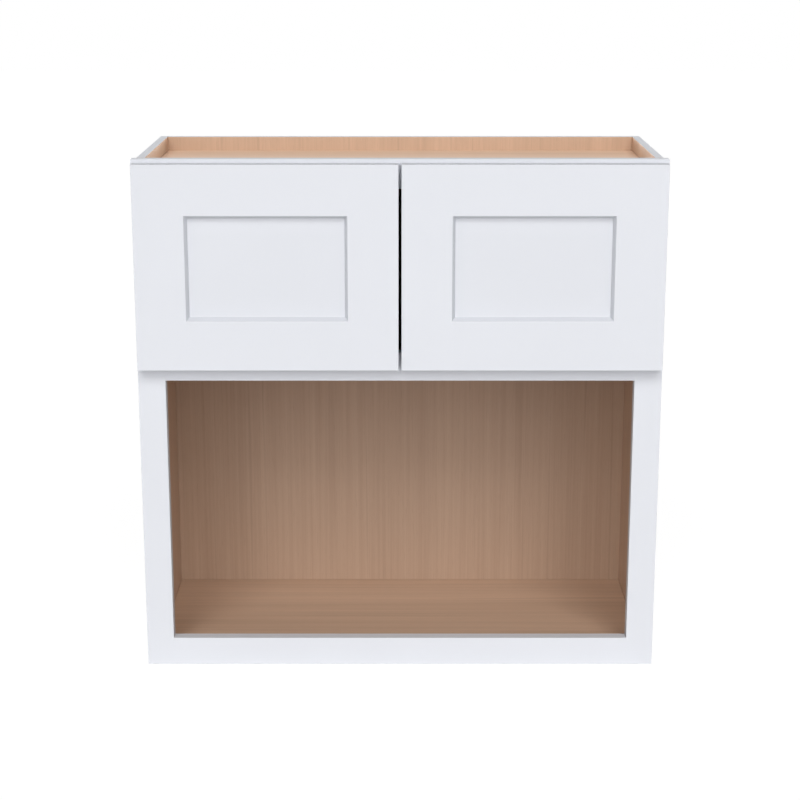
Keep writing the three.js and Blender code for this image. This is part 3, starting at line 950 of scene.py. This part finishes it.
# A lamp stands on either side in each pair: (turn from straight ahead, height, strength, spread),
# with the angles in degrees, as seen from the middle of the floor.
LAMP_PAIRS = {
    "low": (28, 0, 0.266, SOFT),
    "wide": (58, 0, 0.345, SOFT),
    "mid": (17, 26, 0.374, SOFT),
    "high": (20, 45, 0.709, SOFT),
    "side": (102, 3, 0.9, FIRM),
    "back": (160, 3, 0.8, FIRM),
}

FLOOR_HALF_WIDTH = 12
FLOOR_COLOUR = 0.8  # for the light it throws back on the object
FLOOR_GLOW = 0.955  # what is seen of it where no light falls
FLOOR_SHADE = 0.09  # what the light adds to that, so that the shadow shows


def make_camera():
    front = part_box("frame_left_stile")[0].y
    data = bpy.data.cameras.new("camera")
    data.lens = LENS
    data.sensor_width = SENSOR_WIDTH
    data.shift_y = CAMERA_SHIFT
    camera = add_to_scene(bpy.data.objects.new("camera", data))
    camera.location = (0, front - CAMERA_DISTANCE, CAMERA_HEIGHT)
    camera.rotation_euler = (math.radians(90 - CAMERA_PITCH), 0, 0)
    bpy.context.scene.camera = camera


def make_lamps():
    for pair, (turn, height, strength, spread) in LAMP_PAIRS.items():
        for side, outward in SIDES.items():
            name = f"{pair}_{side}"
            data = bpy.data.lights.new(name, "SUN")
            data.angle = math.radians(spread)
            data.energy = strength
            lamp = add_to_scene(bpy.data.objects.new(name, data))
            lamp.rotation_euler = (math.radians(90 - height), 0, math.radians(outward * turn))


def sight_rays(nodes):
    """1 for a ray that shows the surroundings: seen, mirrored or through clear plastic."""
    rays = nodes.add("ShaderNodeLightPath").outputs
    total = rays["Is Camera Ray"]
    for name in ("Is Glossy Ray", "Is Transmission Ray"):
        larger = nodes.add("ShaderNodeMath", {0: total, 1: rays[name]}, operation="MAXIMUM")
        total = larger.outputs[0]
    return total


def make_world():
    """Even light on the object, and plain white wherever the camera or a reflection sees it."""
    world = bpy.data.worlds.new("studio")
    world.use_nodes = True
    nodes = Nodes(world.node_tree)
    background = world.node_tree.nodes["Background"]
    background.inputs["Color"].default_value = (1, 1, 1, 1)
    levels = {"Value": sight_rays(nodes), "To Min": AMBIENT, "To Max": 1.0}
    strength = nodes.add("ShaderNodeMapRange", levels)
    nodes.feed(background.inputs["Strength"], strength.outputs["Result"])
    bpy.context.scene.world = world


def floor_material():
    """A pale floor that reads white and keeps a faint shadow."""
    material = bpy.data.materials.new("pale_floor")
    material.use_nodes = True
    material.node_tree.nodes.clear()
    nodes = Nodes(material.node_tree)

    def matt(level):
        return nodes.add("ShaderNodeBsdfDiffuse", {"Color": (level, level, level, 1)}).outputs[0]

    glow = nodes.add("ShaderNodeEmission", {"Strength": FLOOR_GLOW}).outputs[0]
    seen = nodes.add("ShaderNodeAddShader", {0: glow, 1: matt(FLOOR_SHADE)}).outputs[0]
    choice = {"Fac": sight_rays(nodes), 1: matt(FLOOR_COLOUR), 2: seen}
    mix = nodes.add("ShaderNodeMixShader", choice).outputs[0]
    nodes.add("ShaderNodeOutputMaterial", {"Surface": mix})
    return material


def make_floor():
    bm = bmesh.new()
    bmesh.ops.create_grid(bm, x_segments=1, y_segments=1, size=FLOOR_HALF_WIDTH)
    mesh = bpy.data.meshes.new("floor")
    bm.to_mesh(mesh)
    bm.free()
    mesh.materials.append(floor_material())
    floor = add_to_scene(bpy.data.objects.new("floor", mesh))


# ---- Assembly ---------------------------------------------------------------------------------

make_camera()
make_face_frame()
for side, outward in SIDES.items():
    make_side(side, outward)
    make_door(side)
for shelf in ("top_panel", "cupboard_deck", "bay_floor"):
    make_shelf(shelf)
make_back()
make_hardware()
make_lamps()
make_world()
make_floor()
bpy.context.scene.view_settings.view_transform = "Standard"
